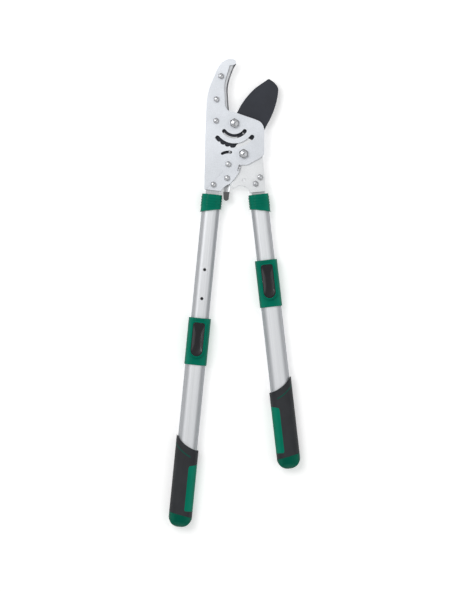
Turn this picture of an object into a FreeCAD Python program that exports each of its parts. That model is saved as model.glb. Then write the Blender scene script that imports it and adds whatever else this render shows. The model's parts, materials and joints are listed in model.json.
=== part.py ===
import FreeCAD, Part
import math
import os

# Ratchet loppers with telescopic handles, in millimetres, lying flat with the jaws towards +Y.
# The outlines are drawn about the main pivot. The finished model is then moved so that its origin
# is the bottom centre of its box. Angles called "from down" are counted from -Y towards +X.

# ---- head: stack of flat parts, from the mid plane outwards -------------------------------------
BLADE_THICK = 4.5
CHEEK_THICK = 3.0
PLATE_THICK = 3.0
LAYER_GAP = 0.3
WASHER_GAP = 0.1

# ---- head: pivots and fasteners -----------------------------------------------------------------
MAIN_PIVOT = (0.0, 0.0)
LEVER_PIVOT = (14.1, -47.3)
HOOK_SCREWS = [(-20.8, 72.9), (-27.9, 37.0)]
FRAME_SCREW = (-28.4, 3.9)
PAWL_SCREW = (-9.6, -63.2)
CATCH_SCREW = (-11.5, -84.6)
TANG_SCREW = (-32.6, -94.7)
LEVER_SCREWS = [(39.4, -83.1), (32.6, -93.2)]
HANG_HOLE = (14.9, -88.0)
HANG_HOLE_R = 2.7

M8_R = 4.0
M8_FLATS = 13.0
M8_NUT_HIGH = 7.6
M8_HEAD_HIGH = 5.3
M5_R = 2.5
M5_FLATS = 8.0
M5_NUT_HIGH = 4.9
M5_HEAD_R = 4.6
M5_HEAD_HIGH = 2.6
M5_END_BELOW = 0.9
M8_END_BELOW = 1.4
NUT_DOME_FLATTER = 0.45
SCREW_CLEAR = 0.1
RUN_CLEAR = 0.05
BUSH_R = 6.0
SLEEVE_R = 4.0
BLADE_WASHER_R = 13.5
LEVER_SPACER_WALL = 0.75

# ---- ratchet on the blade tail ------------------------------------------------------------------
LOBE_R = 38.0
CUSP_R = 35.8
LOBE_PITCH = 13.05
DRIVE_CUSP = 14.1
LOBES = 9
TAIL_END = 61.0
TAIL_LEAN = 12.0
BLADE_BOSS_R = 14.0
BOSS_TURN = 80.0
SPRING_RING_R = 22.1
SPRING_WIRE_R = 1.3
SPRING_FROM = -49.0
SPRING_TO = 12.0
POST_ANGLE = 41.0
POST_RING_R = 20.5
POST_R = 1.5

# ---- windows in the front plate -----------------------------------------------------------------
UPPER_SLOT_R = 20.0
UPPER_SLOT_WIDE = 6.4
UPPER_SLOT_END = 52.5
LOWER_SLOT_R = 34.5
LOWER_SLOT_WIDE = 6.8
LOWER_SLOT_FROM = -49.7
LOWER_SLOT_TO = 52.3
PLAIN_FROM = 0.0
THUMB_SLOT_R = 18.75
THUMB_SLOT_WIDE = 4.2
THUMB_ENGAGED = 11.5
THUMB_RELEASED = -29.3
THUMB_PIN_R = 1.7
THUMB_PIN_PROUD = 1.8

# ---- pawls, in degrees of their own travel ------------------------------------------------------
HOLD_CUSP_STEPS = 4
HOLD_ENGAGE = 4.6
DRIVE_PAWL_PIVOT = (3.1, -42.8)
DRIVE_PAWL_BOSS_R = 3.6
DRIVE_PIN_R = 1.8
DRIVE_ENGAGE = 14.6
PAWL_TIP_GAP = 0.25
TOOTH_ROOT_GAP = 0.7
TOOTH_HALF_ANGLE = 1.5
HOLD_BOSS_R = 6.2

# ---- handles ------------------------------------------------------------------------------------
HANDLE_GAP_LEFT = -20.55
HANDLE_GAP_RIGHT = 22.9
HEAD_END_Y = -107.4
LEFT_TILT = -5.64
RIGHT_TILT = 6.53

TUBE_WIDE = 27.6
TUBE_DEEP = 20.2
TUBE_CORNER = 9.6
TUBE_WALL = 1.5
TUBE_START = 3.0
TUBE_PAST_HOLES = 53.5
SLIDE_GAP = 0.8
GUIDE_CLEAR = 0.3
OUTER_WALL = 1.1
COLLAR_WALL = 1.6
HOLE_PITCH = 45.0
HOLE_COUNT = 6
HOLE_R = 2.4
LEFT_NOTCHES_OUT = 2
FIT_CLEAR = 0.05

PLUG_TOP = 2.8
PLUG_END = 24.0
PLUG_SIDE = 3.2
TANG_HEAD_GROW = 1.1
TANG_HEAD_END = 2.2
TANG_SHOULDER = 2.0
TANG_END = 46.0
TANG_PIN_AT = 16.0
TANG_PIN_R = 2.0
COLLAR_TOP = 2.4
COLLAR_END_OUTER = 29.0
COLLAR_END_INNER = 23.0
COLLAR_RIBS = 4
COLLAR_RIB_HIGH = 0.6
COLLAR_RIB_LONG = 2.4
COLLAR_RIB_PITCH = 4.2
COLLAR_FIRST_RIB = 6.4
HEAD_COLLAR_WALL = 1.8
GUIDE_LONG = 26.0

LOCK_TOP = 104.7
LOCK_LONG = 72.8
PIN_BELOW_TOP = 14.8
PAD_WIDE = 18.0
PAD_LONG = 51.5
PAD_BELOW_TOP = 7.4
PAD_THICK = 2.8
PAD_POCKET_CLEAR = 0.4
PAD_UNDER = 3.7
RIM_WIDE = 2.2
RIM_ABOVE_PAD = 0.6
RIM_ROOT = 3.0
LOCK_PIN_CLEAR = 0.5
LOCK_PIN_GAP = 0.3
LOCK_AXLE_R = 1.1
LOCK_AXLE_LIFT = 2.25
LOCK_LUG_WIDE = 5.0
LOCK_LUG_R = 1.9
LOCK_SPRING_R = 1.9
LOCK_SPRING_LONG = 3.5
LOCK_MOUTH_LONG = 6.0

GRIP_SIDE_WALL = 2.4
GRIP_FACE_WALL = 3.0
GRIP_CORNER_GROW = 3.1
GRIP_LONG = 142.5
GRIP_SLANT = 22.5
GRIP_PAST_JOINT = 7.5
GRIP_DIP = 4.5
STRIPE_BELOW = 12.0
STRIPE_THICK = 2.2
STRIPE_REACH = 7.0
INLAY_DEEP = 1.2
INLAY_SIDE_BELOW = 17.0
INLAY_LIP_BELOW = 24.0
INLAY_LIP_AT = 6.5
INLAY_FOOT_BELOW = 28.0
INLAY_BULGE = 0.4
INLAY_ABOVE_CAP = 3.0
INLAY_EDGE = 5.3
END_GAP = 5.0
END_PLUG_LONG = 16.0
CAP_PAST_TUBE = 11.0
CAP_LONG = 23.0
CAP_SLANT = 6.5
CAP_CROWN_WIDE = 15.0
CAP_CROWN_DEEP = 10.0

# ---- safety catch -------------------------------------------------------------------------------
CATCH_THICK = 3.0
CATCH_TAB_THICK = 9.0
CATCH_BOSS_R = 6.4

# ---- levels worked out from the stack -----------------------------------------------------------
BLADE_TOP = BLADE_THICK / 2
CHEEK_LOW = BLADE_TOP + LAYER_GAP
CHEEK_TOP = CHEEK_LOW + CHEEK_THICK
PLATE_LOW = CHEEK_TOP + LAYER_GAP
PLATE_TOP = PLATE_LOW + PLATE_THICK
FIRST_CUSP = DRIVE_CUSP + LOBE_PITCH
TAIL_FROM = FIRST_CUSP - LOBES * LOBE_PITCH
HOLD_CUSP = DRIVE_CUSP - HOLD_CUSP_STEPS * LOBE_PITCH
OUTER_WIDE = TUBE_WIDE + 2 * (SLIDE_GAP + OUTER_WALL)
OUTER_DEEP = TUBE_DEEP + 2 * (SLIDE_GAP + OUTER_WALL)
OUTER_CORNER = TUBE_CORNER + SLIDE_GAP + OUTER_WALL
TANG_WIDE = TUBE_WIDE - 2 * (TUBE_WALL + PLUG_SIDE)
LEFT_HEAD_END = (HANDLE_GAP_LEFT - TUBE_WIDE / 2, HEAD_END_Y)
RIGHT_HEAD_END = (HANDLE_GAP_RIGHT + TUBE_WIDE / 2, HEAD_END_Y)
PAD_AT = LOCK_TOP + PAD_BELOW_TOP + PAD_LONG / 2
PIN_AT = LOCK_TOP + PIN_BELOW_TOP
TUBE_END = PIN_AT + (HOLE_COUNT - 1) * HOLE_PITCH + TUBE_PAST_HOLES
LOCK_PIN_R = HOLE_R - LOCK_PIN_CLEAR
LOCK_AXLE_Z = TUBE_DEEP / 2 + LOCK_AXLE_LIFT
PAD_LOW = TUBE_DEEP / 2 + SLIDE_GAP + PAD_UNDER
PAD_TOP = PAD_LOW + PAD_THICK
RIM_TOP = PAD_TOP + RIM_ABOVE_PAD
OUTER_TUBE_END = TUBE_END + END_GAP + END_PLUG_LONG
CAP_END = OUTER_TUBE_END + CAP_PAST_TUBE
CAP_TOP = CAP_END - CAP_LONG
GRIP_WIDE = OUTER_WIDE + 2 * GRIP_SIDE_WALL
GRIP_DEEP = OUTER_DEEP + 2 * GRIP_FACE_WALL
GRIP_CORNER = OUTER_CORNER + GRIP_CORNER_GROW
GRIP_END = CAP_TOP + GRIP_PAST_JOINT
GRIP_TOP_OUTER = CAP_END - GRIP_LONG
GRIP_TOP_INNER = GRIP_TOP_OUTER + GRIP_SLANT
INLAY_TO = CAP_TOP - INLAY_ABOVE_CAP


# ---- drawing helpers ----------------------------------------------------------------------------
def vec(x, y, z=0.0):
    return FreeCAD.Vector(x, y, z)


def from_down(radius, degrees, centre=MAIN_PIVOT):
    """Point on a circle, its angle counted from -Y towards +X."""
    turn = math.radians(degrees)
    return (centre[0] + radius * math.sin(turn), centre[1] - radius * math.cos(turn))


def from_up(radius, degrees, centre):
    """Point on a circle, its angle counted from +Y towards +X."""
    turn = math.radians(degrees)
    return (centre[0] + radius * math.sin(turn), centre[1] + radius * math.cos(turn))


def turned(point, centre, degrees):
    """A point turned anticlockwise about a centre."""
    turn = math.radians(degrees)
    x = point[0] - centre[0]
    y = point[1] - centre[1]
    return (centre[0] + x * math.cos(turn) - y * math.sin(turn),
            centre[1] + x * math.sin(turn) + y * math.cos(turn))


class Outline:
    """A closed flat outline, drawn stretch by stretch and made into a slab."""

    def __init__(self, start):
        self.first = start
        self.last = start
        self.edges = []

    def line(self, *points):
        for point in points:
            self.edges.append(Part.LineSegment(vec(*self.last), vec(*point)).toShape())
            self.last = point
        return self

    def arc(self, middle, end):
        self.edges.append(Part.Arc(vec(*self.last), vec(*middle), vec(*end)).toShape())
        self.last = end
        return self

    def curve(self, *points):
        spline = Part.BSplineCurve()
        spline.interpolate([vec(*self.last)] + [vec(*point) for point in points])
        self.edges.append(spline.toShape())
        self.last = points[-1]
        return self

    def slab(self, low, high):
        if math.dist(self.last, self.first) > 1e-6:
            self.line(self.first)
        wire = Part.Wire(Part.__sortEdges__(self.edges))
        face = Part.Face(wire)
        face.translate(vec(0, 0, low))
        return face.extrude(vec(0, 0, high - low))


def disc(centre, radius, low, high):
    return Part.makeCylinder(radius, high - low, vec(centre[0], centre[1], low))


def ring(centre, outer, inner, low, high):
    return disc(centre, outer, low, high).cut(disc(centre, inner, low, high))


def hexagon(centre, flats, low, high):
    """Hexagonal prism with a corner towards +Y."""
    points = [from_up(flats / math.sqrt(3), step * 60.0, centre) for step in range(6)]
    return Outline(points[0]).line(*points[1:]).slab(low, high)


def arc_slot(centre, radius, width, start, end, low, high, place=from_down):
    """Curved slot with round ends, whose end centres are at the two angles."""
    half = width / 2
    middle = (start + end) / 2
    outline = Outline(place(radius - half, start, centre))
    outline.arc(place(radius - half, middle, centre), place(radius - half, end, centre))
    outline.line(place(radius + half, end, centre))
    outline.arc(place(radius + half, middle, centre), place(radius + half, start, centre))
    slot = outline.slab(low, high)
    for angle in (start, end):
        slot = slot.fuse(disc(place(radius, angle, centre), half, low, high))
    return slot.removeSplitter()


def rounded_bar(wide, deep, corner, start, end):
    """Bar of rounded rectangular section along -Y, from one distance to another."""
    x = wide / 2
    z = deep / 2
    section = []
    corners = [(x - corner, z - corner, 1, 1), (x - corner, corner - z, 1, -1),
               (corner - x, corner - z, -1, -1), (corner - x, z - corner, -1, 1)]
    diagonal = corner * math.sqrt(0.5)
    arcs = []
    for index, (cx, cz, sx, sz) in enumerate(corners):
        tall = vec(cx, -start, cz + sz * corner)
        wide_point = vec(cx + sx * corner, -start, cz)
        halfway = vec(cx + sx * diagonal, -start, cz + sz * diagonal)
        ends = (tall, wide_point) if index % 2 == 0 else (wide_point, tall)
        arcs.append((ends[0], halfway, ends[1]))
    for index, (begin, halfway, finish) in enumerate(arcs):
        section.append(Part.Arc(begin, halfway, finish).toShape())
        following = arcs[(index + 1) % 4][0]
        if finish.distanceToPoint(following) > 1e-6:
            section.append(Part.LineSegment(finish, following).toShape())
    face = Part.Face(Part.Wire(Part.__sortEdges__(section)))
    return face.extrude(vec(0, start - end, 0))


def offset_bar(wide, deep, corner, grow, start, end):
    return rounded_bar(wide + 2 * grow, deep + 2 * grow, corner + grow, start, end)


def cross_pin(radius, at, low, high):
    """Pin along Z through a handle, at a distance down it."""
    return Part.makeCylinder(radius, high - low, vec(0, -at, low))


def group(shapes):
    return Part.makeCompound(shapes)


def on_handle(shape, head_end, tilt, slid=0.0):
    """Put a shape drawn along -Y onto a handle, slid out along it."""
    placed = shape.copy()
    placed.translate(vec(0, -slid, 0))
    placed.rotate(vec(0, 0, 0), vec(0, 0, 1), tilt)
    placed.translate(vec(head_end[0], head_end[1], 0))
    return placed


# ---- plates and hook ----------------------------------------------------------------------------
def cover_edges(outline):
    """The plate edge shared by both plates: under the cut-out, round the right side, over the top."""
    outline.arc((-15.6, -98.4), (-6.8, -93.9))
    outline.line((0.9, -84.9), (7.4, -75.6), (7.9, -68.7))
    outline.curve((9.5, -64.9), (18.0, -64.3), (28.1, -59.9), (35.8, -56.1), (44.6, -48.5))
    outline.arc((45.7, -47.0), (46.0, -45.2))
    outline.line((46.0, -11.0))
    outline.arc((44.3, -3.4), (39.2, 2.9))
    outline.curve((31.2, 6.5), (17.8, 11.0), (3.6, 16.0), (-7.1, 18.6))
    return outline


def left_edge(outline):
    """The straight left side of both plates, and the rounded corner at its foot."""
    outline.line((-45.6, -31.5), (-46.4, -81.1), (-46.6, -99.8))
    return outline.arc((-46.0, -101.6), (-44.2, -102.2))


def screw_holes(low, high, extra=()):
    holes = [disc(MAIN_PIVOT, M8_R + SCREW_CLEAR, low, high)]
    holes.append(disc(LEVER_PIVOT, M8_R + SCREW_CLEAR, low, high))
    for centre in [FRAME_SCREW, PAWL_SCREW, CATCH_SCREW, TANG_SCREW] + list(extra):
        holes.append(disc(centre, M5_R + SCREW_CLEAR, low, high))
    return holes


def ratchet_window(low, high):
    """Lower window: scalloped in step with the lobes on its left, plain where the lever shows."""
    slot = arc_slot(MAIN_PIVOT, LOWER_SLOT_R, LOWER_SLOT_WIDE, LOWER_SLOT_FROM, LOWER_SLOT_TO, low, high)
    sector = ratchet_edge(Outline(MAIN_PIVOT).line(from_down(LOBE_R, TAIL_END))).slab(low, high)
    left_end = disc(from_down(LOWER_SLOT_R, LOWER_SLOT_FROM), LOWER_SLOT_WIDE / 2, low, high)
    plain = arc_slot(MAIN_PIVOT, LOWER_SLOT_R, LOWER_SLOT_WIDE, PLAIN_FROM, LOWER_SLOT_TO, low, high)
    return slot.common(sector).fuse([left_end, plain]).removeSplitter()


def front_plate():
    outline = Outline((-20.4, -105.1))
    cover_edges(outline)
    outline.curve((-13.2, 24.6), (-15.0, 38.6), (-15.5, 51.9), (-14.6, 65.3), (-10.5, 78.6), (-7.9, 88.2))
    outline.arc((-5.9, 89.8), (-3.7, 89.4))
    outline.line((1.4, 91.4))
    outline.arc((2.5, 94.6), (0.0, 98.7))
    outline.curve((-6.8, 99.8), (-21.3, 92.1), (-30.9, 73.7), (-38.6, 55.3), (-42.3, 36.7), (-44.0, 10.0))
    plate = left_edge(outline).slab(PLATE_LOW, PLATE_TOP)
    cuts = screw_holes(PLATE_LOW, PLATE_TOP, HOOK_SCREWS)
    cuts.append(arc_slot(MAIN_PIVOT, UPPER_SLOT_R, UPPER_SLOT_WIDE, -UPPER_SLOT_END, UPPER_SLOT_END,
                         PLATE_LOW, PLATE_TOP))
    cuts.append(ratchet_window(PLATE_LOW, PLATE_TOP))
    cuts.append(arc_slot(PAWL_SCREW, THUMB_SLOT_R, THUMB_SLOT_WIDE, THUMB_RELEASED, THUMB_ENGAGED,
                         PLATE_LOW, PLATE_TOP, from_up))
    return plate.cut(cuts)


def rear_plate():
    outline = Outline((-20.4, -105.1))
    cover_edges(outline)
    outline.arc((-12.0, 19.6), (-16.0, 22.4))
    outline.curve((-30.0, 29.5), (-41.6, 26.5))
    outline.arc((-43.2, 25.0), (-43.6, 22.5))
    plate = left_edge(outline).slab(-PLATE_TOP, -PLATE_LOW)
    return plate.cut(screw_holes(-PLATE_TOP, -PLATE_LOW))


def countersink(centre):
    """Cone of a countersunk head, flush with the back of the counter blade."""
    high = M5_HEAD_R - M5_R
    return Part.makeCone(M5_HEAD_R, M5_R, high, vec(centre[0], centre[1], CHEEK_LOW))


def counter_blade():
    outline = Outline((-8.4, 18.4))
    outline.curve((-9.3, 29.8), (-10.2, 43.1), (-10.2, 56.4), (-8.4, 65.3), (-4.0, 78.6), (-0.6, 86.6),
                  (2.6, 91.6))
    outline.curve((-1.5, 95.9), (-6.8, 96.9), (-19.6, 90.0), (-28.4, 72.7), (-35.3, 54.5), (-38.9, 36.2))
    outline.line((-40.4, 13.6), (-18.0, 12.8))
    blade = outline.slab(CHEEK_LOW, PLATE_LOW)
    cuts = []
    for centre in HOOK_SCREWS:
        cuts.append(disc(centre, M5_R + SCREW_CLEAR, CHEEK_LOW, PLATE_LOW))
        cuts.append(countersink(centre))
    return blade.cut(cuts)


# ---- fasteners ----------------------------------------------------------------------------------
def nut(centre, flats, hole, low, height):
    """Hexagon nut with a domed top, threaded on its bolt."""
    body = hexagon(centre, flats, low, low + height)
    dome_r = (height ** 2 + (flats / math.sqrt(3)) ** 2) / (2 * height) + height * NUT_DOME_FLATTER
    dome = Part.makeSphere(dome_r, vec(centre[0], centre[1], low + height - dome_r))
    return body.common(dome).cut(disc(centre, hole, low, low + height))


def bolt(centre, radius, head_low, head_top, end, flats):
    head = hexagon(centre, flats, head_low, head_top)
    return head.fuse(disc(centre, radius, head_top, end)).removeSplitter()


def button_screw(centre, seat, end):
    """Round-headed screw entered from behind; the head hangs below its seat."""
    head = disc(centre, M5_HEAD_R, seat - M5_HEAD_HIGH, seat)
    return head.fuse(disc(centre, M5_R, seat, end)).removeSplitter()


def pivot_fasteners():
    """Bolt, nut and bearing bush of the main pivot and of the lever pivot, which are alike."""
    centres = [MAIN_PIVOT, LEVER_PIVOT]
    end = PLATE_TOP + M8_NUT_HIGH - M8_END_BELOW
    low = -PLATE_TOP - M8_HEAD_HIGH
    bolts = [bolt(centre, M8_R, low, -PLATE_TOP, end, M8_FLATS) for centre in centres]
    nuts = [nut(centre, M8_FLATS, M8_R, PLATE_TOP, M8_NUT_HIGH) for centre in centres]
    bushes = [ring(centre, BUSH_R, M8_R + SCREW_CLEAR, -PLATE_LOW, PLATE_LOW) for centre in centres]
    return {"pivot_bolts": group(bolts), "pivot_nuts": group(nuts), "pivot_bushes": group(bushes)}


def blade_washers():
    low = BLADE_TOP + WASHER_GAP
    inner = BUSH_R + SCREW_CLEAR
    return group([ring(MAIN_PIVOT, BLADE_WASHER_R, inner, low, PLATE_LOW),
                  ring(MAIN_PIVOT, BLADE_WASHER_R, inner, -PLATE_LOW, -low)])


def frame_fasteners():
    centres = [FRAME_SCREW, PAWL_SCREW, CATCH_SCREW, TANG_SCREW]
    end = PLATE_TOP + M5_NUT_HIGH - M5_END_BELOW
    screws = [button_screw(centre, -PLATE_TOP, end) for centre in centres]
    nuts = [nut(centre, M5_FLATS, M5_R, PLATE_TOP, M5_NUT_HIGH) for centre in centres]
    sleeves = [ring(centre, SLEEVE_R, M5_R + SCREW_CLEAR, -PLATE_LOW, PLATE_LOW) for centre in centres[:3]]
    return {"frame_screws": group(screws), "frame_nuts": group(nuts), "frame_sleeves": group(sleeves)}


def hook_fasteners():
    end = PLATE_TOP + M5_NUT_HIGH - M5_END_BELOW
    screws = [countersink(centre).fuse(disc(centre, M5_R, CHEEK_LOW, end)).removeSplitter()
              for centre in HOOK_SCREWS]
    nuts = [nut(centre, M5_FLATS, M5_R, PLATE_TOP, M5_NUT_HIGH) for centre in HOOK_SCREWS]
    return {"hook_screws": group(screws), "hook_nuts": group(nuts)}


def lever_fasteners():
    end = CHEEK_TOP + M5_NUT_HIGH - M5_END_BELOW
    screws = [button_screw(centre, -CHEEK_TOP, end) for centre in LEVER_SCREWS]
    nuts = [nut(centre, M5_FLATS, M5_R, CHEEK_TOP, M5_NUT_HIGH) for centre in LEVER_SCREWS]
    return {"lever_screws": group(screws), "lever_nuts": group(nuts)}


# ---- blade --------------------------------------------------------------------------------------
def ratchet_edge(outline):
    """Follow the ratchet from the driving end of the tail, over its lobes, to the tail's other end."""
    outline.arc(from_down(LOBE_R, (TAIL_END + FIRST_CUSP) / 2), from_down(LOBE_R, FIRST_CUSP))
    outline.line(from_down(CUSP_R, FIRST_CUSP))
    for lobe in range(LOBES):
        cusp = FIRST_CUSP - lobe * LOBE_PITCH
        outline.arc(from_down(LOBE_R, cusp - LOBE_PITCH / 2), from_down(CUSP_R, cusp - LOBE_PITCH))
    return outline


def blade():
    outline = Outline((3.3, 16.6))
    outline.curve((6.7, 22.0), (8.9, 26.7), (11.8, 31.3), (15.1, 36.0), (22.6, 45.3), (31.9, 54.6),
                  (45.0, 63.9), (50.6, 67.8))
    outline.arc((52.8, 68.9), (54.6, 68.5))
    outline.curve((61.3, 63.9), (65.4, 59.2), (67.7, 54.6), (67.8, 49.9), (66.6, 40.6), (64.5, 31.3),
                  (61.6, 22.0), (58.0, 12.7), (53.4, 3.4), (48.2, -5.9))
    outline.arc((46.2, -9.6), (42.5, -11.2))
    outline.line(from_down(LOBE_R, TAIL_END))
    ratchet_edge(outline)
    outline.line(from_down(BLADE_BOSS_R, TAIL_FROM + TAIL_LEAN))
    boss_middle = from_down(BLADE_BOSS_R, TAIL_FROM - BOSS_TURN / 2)
    outline.arc(boss_middle, from_down(BLADE_BOSS_R, TAIL_FROM - BOSS_TURN))
    leaf = outline.slab(-BLADE_TOP, BLADE_TOP)
    return leaf.cut(disc(MAIN_PIVOT, BUSH_R + RUN_CLEAR, -BLADE_TOP, BLADE_TOP))


def blade_return_spring():
    """Wire ring resting on the blade tail, seen through the upper window."""
    level = BLADE_TOP + LAYER_GAP + SPRING_WIRE_R
    start = from_down(SPRING_RING_R, SPRING_FROM)
    circle = Part.makeCircle(SPRING_WIRE_R, vec(SPRING_RING_R, 0, level), vec(0, 1, 0))
    wire = Part.Face(Part.Wire(circle)).revolve(vec(0, 0, 0), vec(0, 0, 1), SPRING_TO - SPRING_FROM)
    wire.rotate(vec(0, 0, 0), vec(0, 0, 1), math.degrees(math.atan2(start[1], start[0])))
    return wire


def blade_spring_post():
    return disc(from_down(POST_RING_R, POST_ANGLE), POST_R, BLADE_TOP, PLATE_LOW - LAYER_GAP)


# ---- lever --------------------------------------------------------------------------------------
def lever_cheek(low, high):
    outline = Outline((0.6, -37.0))
    outline.line((5.7, -30.8))
    outline.arc((12.6, -25.0), (20.9, -22.7))
    outline.line((26.6, -25.6))
    outline.curve((37.0, -36.0), (44.0, -53.0))
    outline.line((48.8, -103.0))
    outline.arc((48.2, -104.4), (46.8, -105.0))
    outline.line((25.2, -107.3))
    outline.arc((23.8, -107.1), (23.1, -105.9))
    outline.arc((10.9, -96.2), (1.4, -98.9))
    outline.arc((-2.9, -99.3), (-3.9, -95.6))
    outline.line((-0.6, -86.0), (2.0, -63.0))
    outline.arc((-2.5, -50.0), (0.6, -37.0))
    cheek = outline.slab(low, high)
    cuts = [disc(LEVER_PIVOT, BUSH_R + RUN_CLEAR, low, high)]
    cuts.append(disc(DRIVE_PAWL_PIVOT, DRIVE_PIN_R, low, high))
    cuts.append(disc(HANG_HOLE, HANG_HOLE_R, low, high))
    for centre in LEVER_SCREWS:
        cuts.append(disc(centre, M5_R + SCREW_CLEAR, low, high))
    return cheek.cut(cuts)


def handle_point(head_end, tilt, across, along):
    return turned((head_end[0] + across, head_end[1] - along), head_end, tilt)


def tang(outline, head_end, tilt, first_side):
    """Run an outline down into a tube and back up."""
    half = TANG_WIDE / 2
    steps = [(half + TANG_HEAD_GROW, -TANG_SHOULDER), (half + TANG_HEAD_GROW, TANG_HEAD_END),
             (half, TANG_HEAD_END), (half, TANG_END)]
    for across, along in steps:
        outline.line(handle_point(head_end, tilt, first_side * across, along))
    for across, along in reversed(steps):
        outline.line(handle_point(head_end, tilt, -first_side * across, along))
    return outline


def lever_tang():
    outline = Outline((8.5, -93.5))
    outline.line((8.5, -72.0), (43.4, -72.0), (45.6, -100.0))
    tang(outline, RIGHT_HEAD_END, RIGHT_TILT, 1)
    outline.line((22.0, -99.5))
    low = -CHEEK_LOW
    bar = outline.slab(low, CHEEK_LOW)
    cuts = [disc(HANG_HOLE, HANG_HOLE_R, low, CHEEK_LOW)]
    for centre in LEVER_SCREWS:
        cuts.append(disc(centre, M5_R + SCREW_CLEAR, low, CHEEK_LOW))
    cuts.append(on_handle(cross_pin(TANG_PIN_R, TANG_PIN_AT, low, CHEEK_LOW), RIGHT_HEAD_END, RIGHT_TILT))
    return bar.cut(cuts)


def left_tang():
    outline = Outline((-22.5, -77.0))
    outline.line((-43.5, -77.0), (-44.2, -102.0))
    tang(outline, LEFT_HEAD_END, LEFT_TILT, -1)
    low = -PLATE_LOW
    bar = outline.slab(low, PLATE_LOW)
    cuts = [disc(TANG_SCREW, M5_R + SCREW_CLEAR, low, PLATE_LOW)]
    cuts.append(on_handle(cross_pin(TANG_PIN_R, TANG_PIN_AT, low, PLATE_LOW), LEFT_HEAD_END, LEFT_TILT))
    return bar.cut(cuts)


def lever_pivot_spacer():
    inner = BUSH_R + RUN_CLEAR
    return ring(LEVER_PIVOT, inner + LEVER_SPACER_WALL, inner, -CHEEK_LOW, CHEEK_LOW)


# ---- pawls --------------------------------------------------------------------------------------
def ratchet_tooth(cusp):
    """Root, tip and root of a pawl tooth that fills a cusp between two lobes."""
    root = LOBE_R + TOOTH_ROOT_GAP
    return [from_down(root, cusp - TOOTH_HALF_ANGLE), from_down(CUSP_R + PAWL_TIP_GAP, cusp),
            from_down(root, cusp + TOOTH_HALF_ANGLE)]


def drive_pawl():
    """Strut that pushes the ratchet: drawn in mesh, then swung out until it is clear of the lobes."""
    boss = disc(DRIVE_PAWL_PIVOT, DRIVE_PAWL_BOSS_R, -BLADE_TOP, BLADE_TOP)
    x, y = DRIVE_PAWL_PIVOT
    inner_root, tip, outer_root = ratchet_tooth(DRIVE_CUSP)
    strut = Outline((x - 2.4, y + 2.6)).line((x + 2.9, y + 4.0), inner_root, tip, outer_root)
    strut.line((outer_root[0], outer_root[1] - 0.8), (x + 4.9, y + 3.8), (x + 3.0, y - 1.9))
    pawl = boss.fuse(strut.slab(-BLADE_TOP, BLADE_TOP))
    pawl = pawl.cut(disc(DRIVE_PAWL_PIVOT, DRIVE_PIN_R + RUN_CLEAR, -BLADE_TOP, BLADE_TOP))
    pawl.rotate(vec(x, y), vec(0, 0, 1), -DRIVE_ENGAGE)
    return pawl


def holding_pawl():
    """Pawl that keeps the blade where the last stroke left it: drawn in mesh, then swung clear."""
    boss = disc(PAWL_SCREW, HOLD_BOSS_R, -BLADE_TOP, BLADE_TOP)
    x, y = PAWL_SCREW
    outer_root, tip, inner_root = ratchet_tooth(HOLD_CUSP)
    thumb = from_up(THUMB_SLOT_R, THUMB_ENGAGED, PAWL_SCREW)
    arm = Outline((x - 5.8, y + 2.0))
    arm.line((outer_root[0] - 1.6, outer_root[1] - 3.0), outer_root, tip, inner_root)
    arm.line((inner_root[0] + 2.6, inner_root[1] - 3.6), (thumb[0] - 0.8, thumb[1] + 3.4))
    arm.line((thumb[0] + 3.2, thumb[1] + 1.6), (x + 6.0, y + 1.4))
    body = boss.fuse(arm.slab(-BLADE_TOP, BLADE_TOP))
    pawl = body.cut([disc(PAWL_SCREW, SLEEVE_R + RUN_CLEAR, -BLADE_TOP, BLADE_TOP),
                     disc(thumb, THUMB_PIN_R, -BLADE_TOP, BLADE_TOP)])
    pawl.rotate(vec(x, y), vec(0, 0, 1), HOLD_ENGAGE)
    return pawl


def thumb_pin():
    thumb = from_up(THUMB_SLOT_R, THUMB_ENGAGED - HOLD_ENGAGE, PAWL_SCREW)
    return disc(thumb, THUMB_PIN_R, -BLADE_TOP, PLATE_TOP + THUMB_PIN_PROUD)


def drive_pawl_pin():
    return disc(DRIVE_PAWL_PIVOT, DRIVE_PIN_R, -CHEEK_TOP, CHEEK_TOP)


# ---- safety catch -------------------------------------------------------------------------------
def catch_arm():
    half = CATCH_THICK / 2
    boss = disc(CATCH_SCREW, CATCH_BOSS_R, -half, half)
    arm = Outline((-17.4, -87.0)).line((-16.9, -105.9), (-14.4, -110.0), (-11.2, -110.0), (-7.8, -104.5),
                                       (-6.8, -97.5), (-6.4, -87.0)).slab(-half, half)
    return boss.fuse(arm).cut(disc(CATCH_SCREW, SLEEVE_R + RUN_CLEAR, -half, half))


def catch_tab():
    half = CATCH_TAB_THICK / 2
    outline = Outline((-17.3, -105.9)).line((-16.9, -114.6))
    outline.arc((-12.7, -119.4), (-8.8, -114.6))
    outline.line((-7.6, -105.9))
    return outline.slab(-half, half).cut(catch_arm())


# ---- handles: fixed upper part ------------------------------------------------------------------
def upper_tube():
    outer = rounded_bar(TUBE_WIDE, TUBE_DEEP, TUBE_CORNER, TUBE_START, TUBE_END)
    inner = offset_bar(TUBE_WIDE, TUBE_DEEP, TUBE_CORNER, -TUBE_WALL, TUBE_START, TUBE_END)
    cuts = [inner, cross_pin(TANG_PIN_R, TANG_PIN_AT, -TUBE_DEEP, TUBE_DEEP)]
    for index in range(HOLE_COUNT):
        cuts.append(cross_pin(HOLE_R, PIN_AT + index * HOLE_PITCH, 0, TUBE_DEEP))
    return outer.cut(cuts)


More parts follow.
